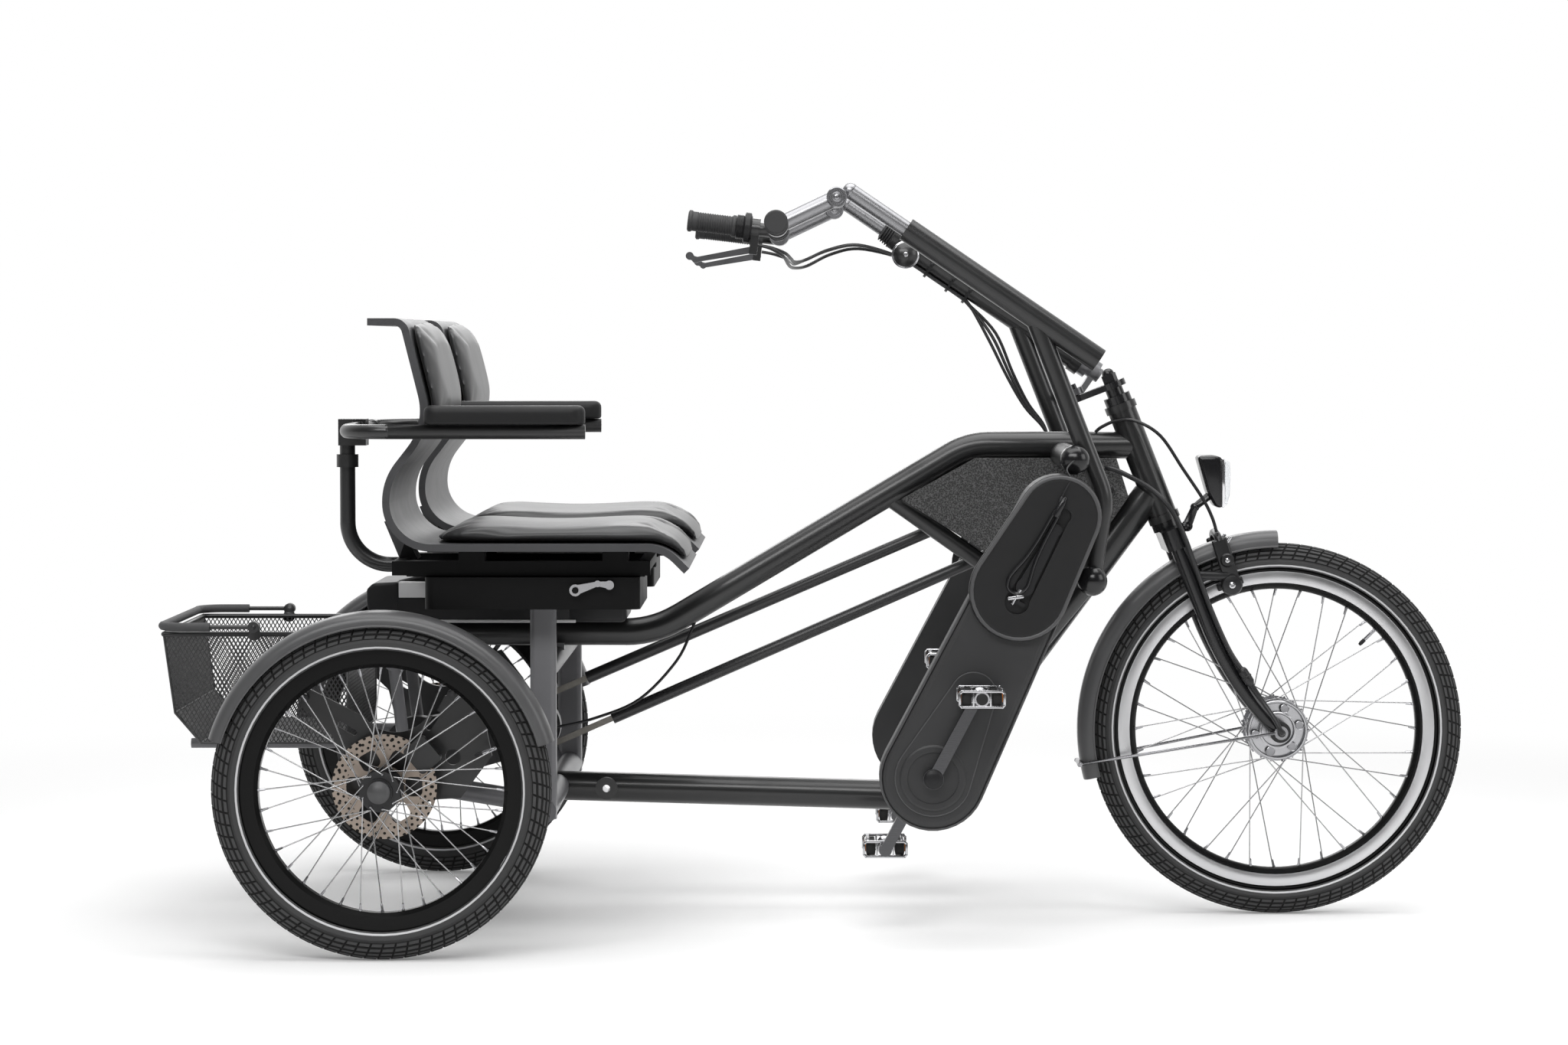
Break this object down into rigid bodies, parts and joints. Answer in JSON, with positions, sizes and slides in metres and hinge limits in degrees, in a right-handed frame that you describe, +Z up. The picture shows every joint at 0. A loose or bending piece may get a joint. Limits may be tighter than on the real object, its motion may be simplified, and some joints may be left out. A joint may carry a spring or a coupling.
{
  "type": "two-seat pedal tricycle",
  "caption": "Side-by-side two-seat pedal tricycle with a steered front wheel, linked handlebar, sliding bucket seats, flip-up armrests and a rear basket.",
  "frame": {"origin": "on the ground under the middle of the whole trike's box", "axes": "+X forward, +Y to the left rider, +Z up"},
  "size_m": [2.0986, 1.06, 1.1809],
  "materials": {
    "frame_black": "satin",
    "frame_grey": "satin",
    "fork_black": "gloss",
    "shell_grey": "satin",
    "case_plastic": "matte",
    "fender_plastic": "satin",
    "black_plastic": "matte",
    "gusset_mat": "grained",
    "pad_vinyl": "soft vinyl",
    "grip_rubber": "matte",
    "tyre_rubber": "matte",
    "rim_black": "gloss",
    "rim_silver": "brushed",
    "polished_alloy": "polished",
    "dark_steel": "brushed",
    "chain_steel": "oiled",
    "cable_black": "satin",
    "lens_clear": "clear",
    "basket_wire": "satin",
    "disc_steel": "brushed"
  },
  "bodies": {
    "frame": {"main_frame": "frame_black", "gusset_plates": "gusset_mat", "right_rider_frame": "frame_black", "left_rider_frame": "frame_black", "rear_frame": "frame_grey", "axle_plates": "frame_black", "axle_housing": "frame_black", "rear_fenders": "fender_plastic", "seat_bases": "frame_black", "battery": "black_plastic", "chain_cases": "case_plastic", "case_covers": "case_plastic", "chain_tubes": "black_plastic", "drive_chains": "chain_steel", "passenger_stem": "polished_alloy", "passenger_bar": "grip_rubber", "control_cables": "cable_black", "basket": "basket_wire"},
    "cross_shaft": {"cross_shaft": "dark_steel"},
    "gear_hub": {"gear_hub": "dark_steel"},
    "right_wheel": {"right_tyre": "tyre_rubber", "right_rim": "rim_black", "right_hub": "dark_steel"},
    "left_wheel": {"left_tyre": "tyre_rubber", "left_rim": "rim_black", "left_hub": "dark_steel"},
    "front_wheel": {"front_tyre": "tyre_rubber", "front_rim": "rim_silver", "front_hub": "polished_alloy"},
    "fork": {"fork": "fork_black", "front_fender": "fender_plastic", "headlight": "black_plastic", "headlight_lens": "lens_clear", "rim_brake": "black_plastic", "front_cables": "cable_black"},
    "tie_rod": {"tie_rod": "dark_steel"},
    "column": {"driver_stem": "polished_alloy", "driver_bar": "rim_silver", "driver_grips": "grip_rubber"},
    "gear_shifter": {"gear_shifter": "black_plastic"},
    "right_brake_lever": {"right_brake_lever": "polished_alloy"},
    "left_brake_lever": {"left_brake_lever": "polished_alloy"},
    "right_crank": {"right_crank": "dark_steel"},
    "left_crank": {"left_crank": "dark_steel"},
    "right_outer_pedal": {"right_outer_pedal": "polished_alloy"},
    "right_inner_pedal": {"right_inner_pedal": "polished_alloy"},
    "left_inner_pedal": {"left_inner_pedal": "polished_alloy"},
    "left_outer_pedal": {"left_outer_pedal": "polished_alloy"},
    "right_seat": {"right_seat_shell": "shell_grey", "right_seat_pad": "pad_vinyl", "right_back_pad": "pad_vinyl", "armrest_post": "frame_black"},
    "left_seat": {"left_seat_shell": "shell_grey", "left_seat_pad": "pad_vinyl", "left_back_pad": "pad_vinyl"},
    "outer_armrest": {"outer_armrest": "black_plastic"},
    "inner_armrest": {"inner_armrest": "black_plastic"},
    "right_seat_lever": {"right_seat_lever": "polished_alloy"},
    "left_seat_lever": {"left_seat_lever": "polished_alloy"},
    "basket_bail": {"basket_bail": "black_plastic"}
  },
  "joints": [
    {"name": "fork_steer", "type": "hinge", "parent": "frame", "child": "fork", "pos_m": [0.56445, 0, 0.643], "axis": [-0.3665, 0, 0.9304], "range_deg": [-35, 35], "deforming": ["front_cables"]},
    {"name": "front_wheel_spin", "type": "hinge", "parent": "fork", "child": "front_wheel", "pos_m": [0.74575, 0, 0.3035], "axis": [0, 1, 0], "continuous": true},
    {"name": "column_turn", "type": "hinge", "parent": "frame", "child": "column", "pos_m": [0.43475, 0.27, 0.905], "axis": [-0.8271, 0, 0.5621], "range_deg": [-35, 35], "deforming": ["control_cables"]},
    {"name": "tie_rod_swing", "type": "hinge", "parent": "fork", "child": "tie_rod", "pos_m": [0.41737, 0, 0.85268], "axis": [-0.3665, 0, 0.9304], "range_deg": [-35, 35]},
    {"name": "right_wheel_spin", "type": "hinge", "parent": "frame", "child": "right_wheel", "pos_m": [-0.66225, -0.48, 0.258], "axis": [0, 1, 0], "continuous": true},
    {"name": "left_wheel_spin", "type": "hinge", "parent": "frame", "child": "left_wheel", "pos_m": [-0.66225, 0.48, 0.258], "axis": [0, 1, 0], "continuous": true},
    {"name": "cross_shaft_spin", "type": "hinge", "parent": "frame", "child": "cross_shaft", "pos_m": [0.36975, 0, 0.665], "axis": [0, 1, 0], "continuous": true},
    {"name": "gear_hub_spin", "type": "hinge", "parent": "frame", "child": "gear_hub", "pos_m": [-0.47225, 0.04, 0.3], "axis": [0, 1, 0], "continuous": true},
    {"name": "right_crank_spin", "type": "hinge", "parent": "frame", "child": "right_crank", "pos_m": [0.17575, -0.27, 0.26], "axis": [0, 1, 0], "continuous": true},
    {"name": "left_crank_spin", "type": "hinge", "parent": "frame", "child": "left_crank", "pos_m": [0.17575, 0.27, 0.26], "axis": [0, 1, 0], "continuous": true},
    {"name": "right_outer_pedal_spin", "type": "hinge", "parent": "right_crank", "child": "right_outer_pedal", "pos_m": [0.24617, -0.406, 0.39244], "axis": [0, 1, 0], "continuous": true},
    {"name": "right_inner_pedal_spin", "type": "hinge", "parent": "right_crank", "child": "right_inner_pedal", "pos_m": [0.10533, -0.134, 0.12756], "axis": [0, 1, 0], "continuous": true},
    {"name": "left_inner_pedal_spin", "type": "hinge", "parent": "left_crank", "child": "left_inner_pedal", "pos_m": [0.21457, 0.134, 0.40489], "axis": [0, 1, 0], "continuous": true},
    {"name": "left_outer_pedal_spin", "type": "hinge", "parent": "left_crank", "child": "left_outer_pedal", "pos_m": [0.13693, 0.406, 0.11511], "axis": [0, 1, 0], "continuous": true},
    {"name": "right_seat_slide", "type": "slide", "parent": "frame", "child": "right_seat", "axis": [1, 0, 0], "range_m": [-0.06, 0.06]},
    {"name": "left_seat_slide", "type": "slide", "parent": "frame", "child": "left_seat", "axis": [1, 0, 0], "range_m": [-0.06, 0.06]},
    {"name": "outer_armrest_flip", "type": "hinge", "parent": "right_seat", "child": "outer_armrest", "pos_m": [-0.71725, -0.42, 0.799], "axis": [0, -1, 0], "range_deg": [0, 100]},
    {"name": "inner_armrest_flip", "type": "hinge", "parent": "right_seat", "child": "inner_armrest", "pos_m": [-0.71725, -0.12, 0.799], "axis": [0, -1, 0], "range_deg": [0, 100]},
    {"name": "right_brake_pull", "type": "hinge", "parent": "column", "child": "right_brake_lever", "pos_m": [-0.10719, 0.035, 1.08482], "axis": [0, 1, 0], "range_deg": [0, 16], "stiffness_Nm_per_rad": 4, "springref_deg": -2.86},
    {"name": "left_brake_pull", "type": "hinge", "parent": "column", "child": "left_brake_lever", "pos_m": [-0.10719, 0.505, 1.08482], "axis": [0, 1, 0], "range_deg": [0, 16], "stiffness_Nm_per_rad": 4, "springref_deg": -2.86},
    {"name": "shifter_twist", "type": "hinge", "parent": "column", "child": "gear_shifter", "pos_m": [-0.12091, 0.035, 1.12076], "axis": [-0.9925, 0, 0.1219], "range_deg": [-60, 60]},
    {"name": "right_seat_lever_lift", "type": "hinge", "parent": "frame", "child": "right_seat_lever", "pos_m": [-0.37225, -0.417, 0.556], "axis": [0, -1, 0], "range_deg": [0, 25], "stiffness_Nm_per_rad": 2, "springref_deg": -2.86},
    {"name": "left_seat_lever_lift", "type": "hinge", "parent": "frame", "child": "left_seat_lever", "pos_m": [-0.37225, 0.417, 0.556], "axis": [0, -1, 0], "range_deg": [0, 25], "stiffness_Nm_per_rad": 2, "springref_deg": -2.86},
    {"name": "bail_swing", "type": "hinge", "parent": "frame", "child": "basket_bail", "pos_m": [-0.89325, 0, 0.484], "axis": [0, 1, 0], "range_deg": [0, 95]}
  ],
  "couplings": [
    {"joint": "column_turn", "follows": "fork_steer", "ratio": 1},
    {"joint": "tie_rod_swing", "follows": "fork_steer", "ratio": -1},
    {"joint": "gear_hub_spin", "follows": "cross_shaft_spin", "ratio": 0.93846},
    {"joint": "right_crank_spin", "follows": "cross_shaft_spin", "ratio": 0.52286},
    {"joint": "left_crank_spin", "follows": "cross_shaft_spin", "ratio": 0.52286}
  ]
}
